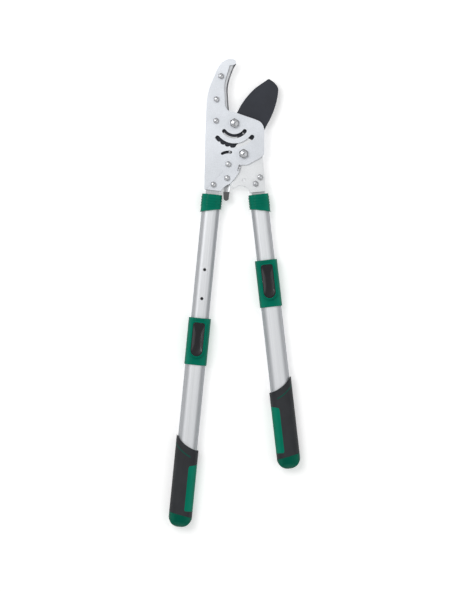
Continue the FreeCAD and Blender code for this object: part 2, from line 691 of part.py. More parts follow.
def tube_plug(tang_half):
    """Moulded plug that packs the tang in the tube's mouth."""
    plug = offset_bar(TUBE_WIDE, TUBE_DEEP, TUBE_CORNER, -TUBE_WALL - FIT_CLEAR, PLUG_TOP, PLUG_END)
    half = TANG_WIDE / 2 + SCREW_CLEAR
    slot = Part.makeBox(2 * half, PLUG_END - PLUG_TOP, 2 * tang_half, vec(-half, -PLUG_END, -tang_half))
    return plug.cut([slot, cross_pin(TANG_PIN_R, TANG_PIN_AT, -TUBE_DEEP, TUBE_DEEP)])


def tang_pin():
    return cross_pin(TANG_PIN_R, TANG_PIN_AT, -TUBE_DEEP / 2, TUBE_DEEP / 2)


def slanted_below(side, outer_end, inner_end):
    """Everything below a slanted line across a handle."""
    reach = GRIP_WIDE
    middle = (outer_end + inner_end) / 2
    rise = (inner_end - outer_end) * reach / TUBE_WIDE
    outline = Outline((-side * reach, -middle + rise))
    outline.line((side * reach, -middle - rise), (side * reach, -middle - reach))
    outline.line((-side * reach, -middle - reach))
    return outline.slab(-GRIP_DEEP, GRIP_DEEP)


def head_collar(side):
    """Ribbed collar over the tube's mouth, longer on the outer side of the handle."""
    end = COLLAR_END_OUTER + 2.0
    sleeve = offset_bar(TUBE_WIDE, TUBE_DEEP, TUBE_CORNER, HEAD_COLLAR_WALL, COLLAR_TOP, end)
    for index in range(COLLAR_RIBS):
        start = COLLAR_FIRST_RIB + index * COLLAR_RIB_PITCH
        rib = offset_bar(TUBE_WIDE, TUBE_DEEP, TUBE_CORNER, HEAD_COLLAR_WALL + COLLAR_RIB_HIGH,
                         start, start + COLLAR_RIB_LONG)
        sleeve = sleeve.fuse(rib)
    inside = rounded_bar(TUBE_WIDE, TUBE_DEEP, TUBE_CORNER, COLLAR_TOP, end)
    return sleeve.cut([inside, slanted_below(side, COLLAR_END_OUTER, COLLAR_END_INNER)])


def guide_bush():
    start = TUBE_END - GUIDE_LONG
    grow = SLIDE_GAP - GUIDE_CLEAR
    outer = offset_bar(TUBE_WIDE, TUBE_DEEP, TUBE_CORNER, grow, start, TUBE_END)
    return outer.cut(rounded_bar(TUBE_WIDE, TUBE_DEEP, TUBE_CORNER, start, TUBE_END))


# ---- handles: sliding lower part ----------------------------------------------------------------
def pocket(grow, low, high):
    """Rounded oblong standing on the front of the lock collar."""
    half = PAD_WIDE / 2 + grow
    reach = PAD_LONG / 2 + grow
    upper = half - 4.0
    outline = Outline((-half, -PAD_AT + reach - 4.0))
    outline.arc((-half + 1.2, -PAD_AT + reach - 1.2), (-upper, -PAD_AT + reach))
    outline.line((upper, -PAD_AT + reach))
    outline.arc((half - 1.2, -PAD_AT + reach - 1.2), (half, -PAD_AT + reach - 4.0))
    outline.line((half, -PAD_AT - reach + half))
    outline.arc((0, -PAD_AT - reach), (-half, -PAD_AT - reach + half))
    return outline.slab(low, high)


def lower_tube():
    start = LOCK_TOP + LOCK_MOUTH_LONG
    outer = rounded_bar(OUTER_WIDE, OUTER_DEEP, OUTER_CORNER, start, OUTER_TUBE_END)
    inner = offset_bar(TUBE_WIDE, TUBE_DEEP, TUBE_CORNER, SLIDE_GAP, start, OUTER_TUBE_END)
    return outer.cut([inner, pocket(PAD_POCKET_CLEAR, 0, OUTER_DEEP), lock_axle()])


def lock_collar():
    end = LOCK_TOP + LOCK_LONG
    sleeve = offset_bar(OUTER_WIDE, OUTER_DEEP, OUTER_CORNER, COLLAR_WALL, LOCK_TOP, end)
    rim = pocket(PAD_POCKET_CLEAR + RIM_WIDE, OUTER_DEEP / 2 - RIM_ROOT, RIM_TOP)
    mouth_end = LOCK_TOP + LOCK_MOUTH_LONG
    mouth = offset_bar(TUBE_WIDE, TUBE_DEEP, TUBE_CORNER, GUIDE_CLEAR, LOCK_TOP, mouth_end)
    inside = rounded_bar(OUTER_WIDE, OUTER_DEEP, OUTER_CORNER, mouth_end, end)
    return sleeve.fuse(rim).cut([mouth, inside, pocket(PAD_POCKET_CLEAR, 0, RIM_TOP), lock_axle()])


def lock_axle():
    half = PAD_WIDE / 2 + PAD_POCKET_CLEAR + RIM_WIDE - 0.6
    return Part.makeCylinder(LOCK_AXLE_R, 2 * half, vec(-half, -PAD_AT, LOCK_AXLE_Z), vec(1, 0, 0))


def lock_pad():
    """Rocking thumb pad with a lug on its axle."""
    pad = pocket(0, PAD_LOW, PAD_TOP)
    half = LOCK_LUG_WIDE / 2
    lug = Part.makeCylinder(LOCK_LUG_R, LOCK_LUG_WIDE, vec(-half, -PAD_AT, LOCK_AXLE_Z), vec(1, 0, 0))
    web = Part.makeBox(LOCK_LUG_WIDE, 2 * LOCK_LUG_R, PAD_LOW - LOCK_AXLE_Z,
                       vec(-half, -PAD_AT - LOCK_LUG_R, LOCK_AXLE_Z))
    bore = Part.makeCylinder(LOCK_AXLE_R + RUN_CLEAR, PAD_WIDE, vec(-PAD_WIDE / 2, -PAD_AT, LOCK_AXLE_Z),
                             vec(1, 0, 0))
    return pad.fuse([lug, web]).cut(bore)


def lock_pin():
    low = TUBE_DEEP / 2 + LOCK_PIN_GAP
    return cross_pin(LOCK_PIN_R, PIN_AT, low, PAD_LOW)


def lock_spring():
    """Small coil round the axle, on both sides of the pad's lug."""
    coils = []
    for start in (LOCK_LUG_WIDE / 2 + 0.2, -LOCK_LUG_WIDE / 2 - 0.2 - LOCK_SPRING_LONG):
        base = vec(start, -PAD_AT, LOCK_AXLE_Z)
        outer = Part.makeCylinder(LOCK_SPRING_R, LOCK_SPRING_LONG, base, vec(1, 0, 0))
        inner = Part.makeCylinder(LOCK_AXLE_R + RUN_CLEAR, LOCK_SPRING_LONG, base, vec(1, 0, 0))
        coils.append(outer.cut(inner))
    return group(coils)


def grip_cutter(side, below, thick):
    """Slab across the grip that dips in the middle and is higher on the outer side of the handle."""
    half = GRIP_WIDE / 2
    outer_y = -GRIP_TOP_OUTER - below
    inner_y = -GRIP_TOP_INNER - below
    middle_y = (outer_y + inner_y) / 2 - GRIP_DIP
    outline = Outline((-side * GRIP_WIDE, outer_y)).line((-side * half, outer_y))
    outline.arc((0.0, middle_y), (side * half, inner_y))
    outline.line((side * GRIP_WIDE, inner_y), (side * GRIP_WIDE, inner_y - thick))
    outline.line((side * half, inner_y - thick))
    outline.arc((0.0, middle_y - thick), (-side * half, outer_y - thick))
    outline.line((-side * GRIP_WIDE, outer_y - thick))
    return outline.slab(-GRIP_DEEP, GRIP_DEEP)


def grip_skin(depth):
    skin = rounded_bar(GRIP_WIDE, GRIP_DEEP, GRIP_CORNER, GRIP_TOP_OUTER - 5.0, GRIP_END)
    return skin.cut(offset_bar(GRIP_WIDE, GRIP_DEEP, GRIP_CORNER, -depth, GRIP_TOP_OUTER - 5.0, GRIP_END))


def grip_stripe(side):
    outer = -side * GRIP_WIDE
    inner = side * STRIPE_REACH
    reach = Part.makeBox(abs(inner - outer), CAP_END, GRIP_DEEP, vec(min(inner, outer), -CAP_END, 0))
    return grip_skin(INLAY_DEEP).common(grip_cutter(side, STRIPE_BELOW, STRIPE_THICK)).common(reach)


def grip_inlay(side):
    """Panel on the inner side, whose top slants up to the side and whose corners are rounded."""
    edge = INLAY_EDGE
    lip = -GRIP_TOP_INNER - INLAY_LIP_BELOW
    foot = -GRIP_TOP_INNER - INLAY_FOOT_BELOW
    outline = Outline((side * GRIP_WIDE, -GRIP_TOP_INNER - INLAY_SIDE_BELOW))
    outline.line((side * INLAY_LIP_AT, lip))
    bulge = (lip + foot) / 2 + INLAY_BULGE
    outline.arc((side * (INLAY_LIP_AT + edge) / 2, bulge), (side * edge, foot))
    outline.line((side * edge, -INLAY_TO + 2.5))
    outline.arc((side * (edge + 0.8), -INLAY_TO + 0.7), (side * (edge + 2.5), -INLAY_TO))
    outline.line((side * GRIP_WIDE, -INLAY_TO))
    return grip_skin(INLAY_DEEP).common(outline.slab(-GRIP_DEEP, GRIP_DEEP))


def grip_sleeve(side):
    body = rounded_bar(GRIP_WIDE, GRIP_DEEP, GRIP_CORNER, GRIP_TOP_OUTER - 5.0, GRIP_END)
    bore = rounded_bar(OUTER_WIDE, OUTER_DEEP, OUTER_CORNER, GRIP_TOP_OUTER - 5.0, GRIP_END)
    above = grip_cutter(side, -GRIP_WIDE, GRIP_WIDE)
    cap_seat = end_cap_shell(side)
    return body.cut([bore, above, grip_stripe(side), grip_inlay(side), cap_seat])


def cap_top_plane(side):
    """Everything below the slanted joint of the end cap."""
    outline = Outline((-side * GRIP_WIDE, -CAP_TOP + CAP_SLANT / 2))
    outline.line((side * GRIP_WIDE, -CAP_TOP - 1.5 * CAP_SLANT))
    outline.line((side * GRIP_WIDE, -CAP_END - 5.0), (-side * GRIP_WIDE, -CAP_END - 5.0))
    return outline.slab(-GRIP_DEEP, GRIP_DEEP)


def crowned_end(wide, crown):
    """Slab whose lower end is an arc across the width, with its crown at the end of the cap."""
    half = wide / 2
    shoulder = -CAP_END + crown
    outline = Outline((half, shoulder))
    outline.arc((0.0, -CAP_END), (-half, shoulder))
    outline.line((-half, -CAP_TOP + crown), (half, -CAP_TOP + crown))
    return outline.slab(-wide, wide)


def end_cap_shell(side):
    """Outer form of the end cap: crowned both ways, down from its slanted joint."""
    block = rounded_bar(GRIP_WIDE, GRIP_DEEP, GRIP_CORNER, CAP_TOP - 10.0, CAP_END)
    deep_crown = crowned_end(GRIP_DEEP, CAP_CROWN_DEEP)
    deep_crown.rotate(vec(0, 0, 0), vec(0, 1, 0), 90)
    domed = block.common(crowned_end(GRIP_WIDE, CAP_CROWN_WIDE)).common(deep_crown)
    return domed.common(cap_top_plane(side))


def end_cap(side):
    inside = rounded_bar(OUTER_WIDE, OUTER_DEEP, OUTER_CORNER, CAP_TOP - 10.0, OUTER_TUBE_END)
    return end_cap_shell(side).cut(inside)


def end_plug():
    grow = SLIDE_GAP - FIT_CLEAR
    start = OUTER_TUBE_END - END_PLUG_LONG
    return offset_bar(TUBE_WIDE, TUBE_DEEP, TUBE_CORNER, grow, start, OUTER_TUBE_END)


# ---- assembly -----------------------------------------------------------------------------------
def head_pieces():
    pieces = {"front_plate": front_plate(), "rear_plate": rear_plate(), "counter_blade": counter_blade()}
    pieces.update(pivot_fasteners())
    pieces.update(frame_fasteners())
    pieces.update(hook_fasteners())
    pieces.update(lever_fasteners())
    pieces["blade_washers"] = blade_washers()
    pieces["blade"] = blade()
    pieces["blade_return_spring"] = blade_return_spring()
    pieces["blade_spring_post"] = blade_spring_post()
    pieces["lever_front_cheek"] = lever_cheek(CHEEK_LOW, CHEEK_TOP)
    pieces["lever_rear_cheek"] = lever_cheek(-CHEEK_TOP, -CHEEK_LOW)
    pieces["lever_tang"] = lever_tang()
    pieces["lever_pivot_spacer"] = lever_pivot_spacer()
    pieces["left_tang"] = left_tang()
    pieces["drive_pawl"] = drive_pawl()
    pieces["drive_pawl_pin"] = drive_pawl_pin()
    pieces["holding_pawl"] = holding_pawl()
    pieces["thumb_pin"] = thumb_pin()
    pieces["catch_arm"] = catch_arm()
    pieces["catch_tab"] = catch_tab()
    return pieces


def handle_pieces(name, side, head_end, tilt, tang_half, slid):
    fixed = {"upper_tube": upper_tube(), "tube_plug": tube_plug(tang_half), "tang_pin": tang_pin(),
             "head_collar": head_collar(side), "guide_bush": guide_bush()}
    sliding = {"lower_tube": lower_tube(), "lock_collar": lock_collar(), "lock_axle": lock_axle(),
               "lock_pad": lock_pad(), "lock_pin": lock_pin(), "lock_spring": lock_spring(),
               "grip_sleeve": grip_sleeve(side), "grip_stripe": grip_stripe(side),
               "grip_inlay": grip_inlay(side), "end_cap": end_cap(side), "end_plug": end_plug()}
    pieces = {}
    for part, shape in fixed.items():
        pieces[name + "_" + part] = on_handle(shape, head_end, tilt)
    for part, shape in sliding.items():
        pieces[name + "_" + part] = on_handle(shape, head_end, tilt, slid)
    return pieces


def build():
    pieces = head_pieces()
    left_out = LEFT_NOTCHES_OUT * HOLE_PITCH
    pieces.update(handle_pieces("left", 1, LEFT_HEAD_END, LEFT_TILT, PLATE_LOW, left_out))
    pieces.update(handle_pieces("right", -1, RIGHT_HEAD_END, RIGHT_TILT, CHEEK_LOW, 0.0))
    return pieces


def bottom_centre(pieces):
    box = FreeCAD.BoundBox()
    for shape in pieces.values():
        box.add(shape.optimalBoundingBox(False))
    return vec((box.XMin + box.XMax) / 2, (box.YMin + box.YMax) / 2, box.ZMin)


def export(pieces, origin):
    os.makedirs("parts", exist_ok=True)
    for name, shape in pieces.items():
        moved = shape.copy()
        moved.translate(origin.negative())
        moved.exportStep("parts/" + name + ".step")


PIECES = build()
ORIGIN = bottom_centre(PIECES)
export(PIECES, ORIGIN)
print(len(PIECES), "nodes, origin", ORIGIN)
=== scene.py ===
"""Looks of a pair of ratchet bypass loppers with telescopic handles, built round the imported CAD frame.

Lengths are metres in the frame of the part: the loppers lie flat with the jaws towards +Y and the
front plate up. Every class below is one sub-assembly or one finish of the tool.
"""
import json
import logging
import math
from collections.abc import Callable
from dataclasses import dataclass, field
from enum import Enum

import bmesh
import bpy
from mathutils import Matrix, Vector

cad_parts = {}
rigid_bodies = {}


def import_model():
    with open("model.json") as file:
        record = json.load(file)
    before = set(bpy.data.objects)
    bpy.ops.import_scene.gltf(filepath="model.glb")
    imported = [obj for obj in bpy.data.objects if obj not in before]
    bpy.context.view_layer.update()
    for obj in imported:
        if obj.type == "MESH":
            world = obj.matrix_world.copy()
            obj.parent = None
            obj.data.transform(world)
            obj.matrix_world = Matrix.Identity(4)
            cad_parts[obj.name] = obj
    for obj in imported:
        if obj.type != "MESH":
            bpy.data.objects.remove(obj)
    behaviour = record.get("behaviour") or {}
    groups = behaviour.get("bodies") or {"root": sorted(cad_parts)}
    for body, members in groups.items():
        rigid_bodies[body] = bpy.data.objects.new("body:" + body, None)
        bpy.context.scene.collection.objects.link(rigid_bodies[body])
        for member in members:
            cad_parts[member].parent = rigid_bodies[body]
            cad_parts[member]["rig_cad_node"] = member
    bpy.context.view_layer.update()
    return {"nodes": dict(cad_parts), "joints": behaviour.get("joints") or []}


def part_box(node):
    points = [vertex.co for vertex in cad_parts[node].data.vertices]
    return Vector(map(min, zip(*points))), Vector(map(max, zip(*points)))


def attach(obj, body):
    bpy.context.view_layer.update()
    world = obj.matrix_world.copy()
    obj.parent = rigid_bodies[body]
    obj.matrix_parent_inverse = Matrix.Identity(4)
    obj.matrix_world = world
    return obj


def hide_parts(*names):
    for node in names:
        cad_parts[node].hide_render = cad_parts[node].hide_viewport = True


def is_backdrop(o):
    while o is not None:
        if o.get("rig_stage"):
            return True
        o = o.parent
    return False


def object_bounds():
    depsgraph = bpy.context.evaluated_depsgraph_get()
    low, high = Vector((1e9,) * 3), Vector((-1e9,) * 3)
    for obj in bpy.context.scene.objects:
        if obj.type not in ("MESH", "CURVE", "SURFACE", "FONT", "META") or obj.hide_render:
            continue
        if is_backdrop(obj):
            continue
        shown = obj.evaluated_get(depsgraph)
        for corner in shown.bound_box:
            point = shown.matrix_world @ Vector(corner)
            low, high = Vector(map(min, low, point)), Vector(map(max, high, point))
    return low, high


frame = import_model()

log = logging.getLogger("loppers")

FINISH_ENDING = "_finish"
MM = 0.001
Colour = tuple[float, float, float, float]
Place = Callable[[Vector, Vector], bool]


def srgb(red: int, green: int, blue: int) -> Colour:
    """Turn a colour given as 0 to 255 display values into linear light.

    Args:
        red: Red display value.
        green: Green display value.
        blue: Blue display value.

    Returns:
        The linear colour with full alpha.
    """
    linear = [(value / 255 / 12.92) if value <= 10 else ((value / 255 + 0.055) / 1.055) ** 2.4
              for value in (red, green, blue)]
    return (linear[0], linear[1], linear[2], 1.0)


class Slot(Enum):
    """Material slots of the part, one named with each piece that is mounted."""

    SATIN_PLATE = "satin_plate"
    GROUND_STEEL = "ground_steel"
    ZINC = "zinc_fasteners"
    BUSH = "bush_steel"
    BLADE = "coated_blade"
    GREEN = "green_plastic"
    BLACK = "black_plastic"
    RUBBER = "grip_rubber"
    GREY = "grey_plastic"


class Side(Enum):
    """The two handles; the value is the sign of X on the side that faces the other handle."""

    LEFT = 1
    RIGHT = -1

    @property
    def word(self) -> str:
        """Give the word that starts the names of this handle's pieces."""
        return self.name.lower()


# ---- shader maths ---------------------------------------------------------------------------------
@dataclass(frozen=True)
class Wire:
    """One output socket; arithmetic on it adds Math nodes."""

    board: "Board"
    socket: bpy.types.NodeSocket

    def _math(self, operation: str, first: "Wire | float", second: "Wire | float") -> "Wire":
        """Add one Math node.

        Args:
            operation: Name of the Math operation.
            first: Its first value or link.
            second: Its second value or link.

        Returns:
            The node's result.
        """
        return self.board.node("ShaderNodeMath", {"operation": operation}, {0: first, 1: second})

    def __add__(self, other: "Wire | float") -> "Wire":
        """Add a value or a wire."""
        return self._math("ADD", self, other)

    __radd__ = __add__

    def __sub__(self, other: "Wire | float") -> "Wire":
        """Subtract a value or a wire."""
        return self._math("SUBTRACT", self, other)

    def __rsub__(self, other: "Wire | float") -> "Wire":
        """Subtract this wire from a value."""
        return self._math("SUBTRACT", other, self)

    def __mul__(self, other: "Wire | float") -> "Wire":
        """Multiply by a value or a wire."""
        return self._math("MULTIPLY", self, other)

    __rmul__ = __mul__

    def __pow__(self, other: float) -> "Wire":
        """Raise to a power."""
        return self._math("POWER", self, other)

    def __abs__(self) -> "Wire":
        """Take the size without the sign."""
        return self._math("ABSOLUTE", self, 0.0)

    def ramp(self, low: float, high: float) -> "Wire":
        """Rescale smoothly from 0 at the low value to 1 at the high one.

        Args:
            low: Value that becomes 0.
            high: Value that becomes 1.

        Returns:
            The rescaled value.
        """
        return self.board.node("ShaderNodeMapRange", {"interpolation_type": "SMOOTHSTEP"},
                               {0: self, 1: low, 2: high, 3: 0.0, 4: 1.0})


class Board:
    """The node tree of one material or of the sky."""

    def __init__(self, owner: bpy.types.Material | bpy.types.World) -> None:
        """Start an empty tree.

        Args:
            owner: The material or world whose tree is drawn.
        """
        self.owner = owner
        owner.use_nodes = True
        self.tree = owner.node_tree
        self.tree.nodes.clear()

    def node(self, kind: str, settings: dict[str, object], inputs: dict[int | str, object],
             output: int | str = 0) -> Wire:
        """Add a node.

        Args:
            kind: Blender's type name of the node.
            settings: Settings of the node, or the stops of a colour ramp, which are set first.
            inputs: Values or wires of its sockets.
            output: Which output to return.

        Returns:
            The chosen output.
        """
        made = self.tree.nodes.new(kind)
        for name, value in settings.items():
            setattr(made, name, value)
        for name, value in inputs.items():
            if isinstance(value, Wire):
                self.tree.links.new(value.socket, made.inputs[name])
            else:
                made.inputs[name].default_value = value
        return Wire(self, made.outputs[output])

    def place(self, turn: float = 0.0, stretch: tuple[float, float, float] = (1.0, 1.0, 1.0)) -> Wire:
        """Give the place on the object, turned and stretched.

        Args:
            turn: Turn about Z in radians.
            stretch: How much finer a pattern gets along X, Y and Z after the turn.

        Returns:
            The place as a vector.
        """
        here = self.node("ShaderNodeTexCoord", {}, {}, "Object")
        straight = self.node("ShaderNodeMapping", {"vector_type": "POINT"},
                             {"Vector": here, "Rotation": (0.0, 0.0, turn)})
        return self.node("ShaderNodeMapping", {"vector_type": "POINT"},
                         {"Vector": straight, "Scale": stretch})

    def noise(self, place: Wire, per_metre: float, detail: float = 2.0, rough: float = 0.5) -> Wire:
        """Add a soft random pattern.

        Args:
            place: Where the pattern is read.
            per_metre: Its fineness.
            detail: Number of finer layers.
            rough: Strength of the finer layers.

        Returns:
            A value about 0.5.
        """
        return self.node("ShaderNodeTexNoise", {},
                         {"Vector": place, "Scale": per_metre, "Detail": detail, "Roughness": rough})

    def blend(self, share: Wire | float, first: "Wire | Colour", second: "Wire | Colour") -> Wire:
        """Mix two colours.

        Args:
            share: Share of the second colour.
            first: First colour.
            second: Second colour.

        Returns:
            The mixed colour.
        """
        return self.node("ShaderNodeMix", {"data_type": "RGBA"}, {0: share, 6: first, 7: second}, 2)

    def facing_up(self) -> Wire:
        """Give 1 on flat faces that lie level and less on sloping ones."""
        normal = self.node("ShaderNodeNewGeometry", {}, {}, "Normal")
        return abs(self.node("ShaderNodeSeparateXYZ", {}, {0: normal}, 2))

    def relief(self, height: Wire, depth: float, strength: float = 1.0) -> Wire:
        """Turn a height pattern into a bumped normal.

        Args:
            height: Height pattern from 0 to 1.
            depth: Height of the relief in metres.
            strength: Share of the relief that shows.

        Returns:
            The normal.
        """
        return self.node("ShaderNodeBump", {}, {"Strength": strength, "Distance": depth, "Height": height})

    def end(self, kind: str, shader: Wire) -> None:
        """End the tree in its output node.

        Args:
            kind: Blender's type name of the output node.
            shader: The shader that feeds it.
        """
        output = self.tree.nodes.new(kind)
        self.tree.links.new(shader.socket, output.inputs["Surface"])

    def surface(self, sockets: dict[str, object]) -> None:
        """End the tree in a Principled shader.

        Args:
            sockets: Values or wires of its sockets.
        """
        self.end("ShaderNodeOutputMaterial", self.node("ShaderNodeBsdfPrincipled", {}, sockets))


# ---- finishes -------------------------------------------------------------------------------------
@dataclass(frozen=True)
class Finish:
    """A finish with its base colour; each kind makes its own material."""

    name: str
    colour: Colour

    def material(self) -> bpy.types.Material:
        """Give the material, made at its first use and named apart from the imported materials.

        Returns:
            The material.
        """
        full_name = self.name + FINISH_ENDING
        made = bpy.data.materials.get(full_name)
        if made is None:
            made = bpy.data.materials.new(full_name)
            self.make(Board(made))
        return made

    def make(self, board: Board) -> None:
        """Make the material on an empty board.

        Args:
            board: The board to draw on.
        """
        raise NotImplementedError

    def coat(self, piece: bpy.types.Object) -> None:
        """Put the finish on every face of a piece.

        Args:
            piece: The piece to dress.
        """
        piece.data.materials.clear()
        piece.data.materials.append(self.material())


@dataclass(frozen=True)
class BlastedPlate(Finish):
    """Bead-blasted satin plate with a fine speckle and slightly darker broken edges."""

    roughness: float = 0.42
    metallic: float = 0.55

    def make(self, board: Board) -> None:
        """Make the speckled satin steel."""
        here = board.place()
        grain = board.noise(here, 1400.0, 3.0, 0.6)
        cloud = board.noise(here, 28.0, 3.0)
        edge = 1.0 - board.facing_up().ramp(0.55, 0.98)
        tone = (grain.ramp(0.34, 0.68) * 0.55 + cloud.ramp(0.3, 0.7) * 0.45)
        darker = tuple(value * 0.80 for value in self.colour[:3]) + (1.0,)
        body = board.blend(tone, darker, self.colour)
        worn = board.blend(edge * 0.5, body, srgb(190, 194, 200))
        board.surface({
            "Base Color": worn, "Metallic": self.metallic,
            "Roughness": grain * 0.16 + (self.roughness - 0.08),
            "Normal": board.relief(grain, 0.00005, 0.35)})


@dataclass(frozen=True)
class GroundSteel(Finish):
    """Steel ground along one direction, with painted shade that darkens the faces sloping away from level.
    """

    roughness: float = 0.34
    # dark grey of the painted shade on steep faces
    slope_shade_colour: Colour = srgb(128, 131, 136)

    def make(self, board: Board) -> None:
        """Make the steel with its grinding lines and the painted shade on its sloping faces."""
        lines = board.noise(board.place(0.25, (2600.0, 90.0, 900.0)), 1.0, 2.0, 0.55)
        cloud = board.noise(board.place(), 60.0)
        # painted shade: faces that slope away from level are blended towards a darker grey
        slope_shade = 1.0 - board.facing_up().ramp(0.5, 0.96)
        darker = tuple(value * 0.78 for value in self.colour[:3]) + (1.0,)
        body = board.blend(lines.ramp(0.3, 0.7) * 0.7 + cloud * 0.3, darker, self.colour)
        board.surface({
            "Base Color": board.blend(slope_shade, body, self.slope_shade_colour), "Metallic": 0.85,
            "Roughness": lines * 0.14 + (self.roughness - 0.07),
            "Normal": board.relief(lines, 0.00003, 0.35)})


@dataclass(frozen=True)
class BrightZinc(Finish):
    """Bright plated hardware with a faint crystalline cloud."""

    roughness: float = 0.2

    def make(self, board: Board) -> None:
        """Make the bright plating."""
        crystals = board.node("ShaderNodeTexVoronoi", {"feature": "F1"},
                              {"Vector": board.place(), "Scale": 900.0}, "Distance")
        cloud = board.noise(board.place(), 260.0, 2.0)
        darker = tuple(value * 0.74 for value in self.colour[:3]) + (1.0,)
        board.surface({
            "Base Color": board.blend(cloud.ramp(0.25, 0.75), darker, self.colour), "Metallic": 1.0,
            "Roughness": crystals * 0.12 + (self.roughness - 0.03),
            "Normal": board.relief(crystals, 0.00002, 0.2)})


@dataclass(frozen=True)
class BladeCoating(Finish):
    """Dark low-friction coating, rubbed to bare metal along its sharp edges."""

    ground_colour: Colour = srgb(176, 180, 186)

    def make(self, board: Board) -> None:
        """Make the coating with a ground edge on sloping faces."""
        here = board.place()
        grain = board.noise(here, 2200.0, 2.0, 0.6)
        cloud = board.noise(here, 34.0, 4.0)
        rubs = board.noise(board.place(0.9, (60.0, 1500.0, 60.0)), 1.0, 2.0)
        sloping = board.facing_up()
        ground = (1.0 - sloping.ramp(0.80, 0.93)) * sloping.ramp(0.25, 0.45)
        lighter = tuple(value * 1.45 for value in self.colour[:3]) + (1.0,)
        body = board.blend(cloud.ramp(0.35, 0.7) * 0.5 + rubs.ramp(0.55, 0.8) * 0.35, self.colour, lighter)
        board.surface({
            "Base Color": board.blend(ground, body, self.ground_colour), "Metallic": ground * 0.85,
            "Specular IOR Level": 0.3,
            "Roughness": grain * 0.12 + 0.36 - ground * 0.1,
            "Normal": board.relief(grain, 0.00003, 0.4)})


@dataclass(frozen=True)
class SatinTube(Finish):
    """Anodised tube with faint drawing lines along it and painted shade that darkens its rounded flanks.
    """

    turn: float = 0.0
    # dark grey of the painted shade on the flanks
    flank_shade_colour: Colour = srgb(132, 137, 143)

    def make(self, board: Board) -> None:
        """Make the satin aluminium with its drawing lines and the painted shade on its flanks."""
        lines = board.noise(board.place(self.turn, (1500.0, 4.0, 1500.0)), 1.0, 3.0, 0.6)
        bands = board.noise(board.place(self.turn, (220.0, 1.5, 220.0)), 1.0, 1.0)
        # painted shade: flanks that turn away from level are blended towards a dark grey
        flank_shade = (1.0 - board.facing_up()) ** 0.5
        darker = tuple(value * 0.86 for value in self.colour[:3]) + (1.0,)
        body = board.blend(lines.ramp(0.3, 0.7) * 0.5 + bands.ramp(0.3, 0.7) * 0.5, darker, self.colour)
        board.surface({
            "Base Color": board.blend(flank_shade * 0.95, body, self.flank_shade_colour), "Metallic": 0.35,
            "Roughness": lines * 0.14 + 0.36,
            "Normal": board.relief(lines, 0.00002, 0.35)})


@dataclass(frozen=True)
class Moulded(Finish):
    """Moulded plastic with an eroded texture and a painted highlight that lightens its rounded edges."""

    roughness: float = 0.4
    per_metre: float = 1500.0
    depth: float = 0.00006
    clear: float = 0.0
    # strength of the painted highlight on the edges
    worn: float = 1.3
    shine: float = 0.14

    def make(self, board: Board) -> None:
        """Make the textured plastic with its painted edge highlight."""
        here = board.place()
        grain = board.noise(here, self.per_metre, 3.0, 0.6)
        cloud = board.noise(here, 40.0, 3.0)
        level = board.facing_up()
        # painted highlight: edges that slope part way from level are blended towards a lighter colour
        edge = level.ramp(0.45, 0.75) * (1.0 - level.ramp(0.80, 0.98))
        darker = tuple(value * 0.82 for value in self.colour[:3]) + (1.0,)
        lighter = tuple(min(1.0, value * self.worn + 0.01) for value in self.colour[:3]) + (1.0,)
        body = board.blend(grain.ramp(0.3, 0.7) * 0.5 + cloud.ramp(0.3, 0.7) * 0.5, darker, self.colour)
        board.surface({
            "Base Color": board.blend(edge * 0.6, body, lighter), "Coat Weight": self.clear,
            "Specular IOR Level": self.shine,
            "Roughness": grain * 0.16 + (self.roughness - 0.08),
            "Normal": board.relief(grain, self.depth, 0.5)})


@dataclass(frozen=True)
class GripRubber(Finish):
    """Soft dark grip rubber with a dense pebbled skin and a dusty bloom."""

    def make(self, board: Board) -> None:
        """Make the pebbled rubber."""
        here = board.place()
        pebbles = board.node("ShaderNodeTexVoronoi", {"feature": "F1"},
                             {"Vector": here, "Scale": 1100.0}, "Distance")
        bloom = board.noise(here, 30.0, 4.0, 0.6)
        lighter = tuple(value * 1.5 for value in self.colour[:3]) + (1.0,)
        body = board.blend(bloom.ramp(0.35, 0.75) * 0.5 + pebbles * 0.25, self.colour, lighter)
        board.surface({
            "Base Color": body, "Roughness": pebbles * 0.15 + 0.55, "Specular IOR Level": 0.25,
            "Normal": board.relief(1.0 - pebbles, 0.00012, 0.45)})


@dataclass(frozen=True)
class Paper(Finish):
    """Seamless backdrop with hardly any mottling."""

    def make(self, board: Board) -> None:
        """Make the plain pale floor."""
        fibre = board.noise(board.place(), 90.0, 3.0)
        darker = tuple(value * 0.985 for value in self.colour[:3]) + (1.0,)
        board.surface({"Base Color": board.blend(fibre, darker, self.colour), "Roughness": 0.9,
                       "Emission Color": self.colour, "Emission Strength": 0.35})


SATIN_PLATE = BlastedPlate("satin_plate", srgb(240, 244, 250))
LEVER_PLATE = BlastedPlate("satin_lever", srgb(246, 248, 250))
STEEL = GroundSteel("ground_steel", srgb(214, 216, 219))
ZINC = BrightZinc("bright_zinc", srgb(236, 238, 242))
BUSH = BrightZinc("bush_steel", srgb(190, 190, 192), 0.28)
SPRING = BlastedPlate("spring_wire", srgb(250, 251, 252), 0.4, 0.1)
BLADE_COAT = BladeCoating("blade_coating", srgb(46, 49, 57))
GREEN = Moulded("green_plastic", srgb(0, 122, 98), 0.36, clear=0.04, shine=0.05)
CAP_GREEN = Moulded("cap_green", srgb(0, 94, 74), 0.4, clear=0.03, shine=0.05)
GREEN_INLAY = Moulded("green_inlay", srgb(0, 128, 102), 0.45, worn=1.15, shine=0.05)
DIM_GREEN = Moulded("dim_green_rubber", srgb(18, 84, 72), 0.55, worn=1.1)
BLACK_GLOSS = Moulded("black_pad", srgb(42, 42, 45), 0.24, 900.0, 0.00002, 0.5, 1.8, 0.3)
BLACK = Moulded("black_plastic", srgb(38, 38, 40), 0.45)
GREY = Moulded("grey_plastic", srgb(101, 101, 102), 0.5)
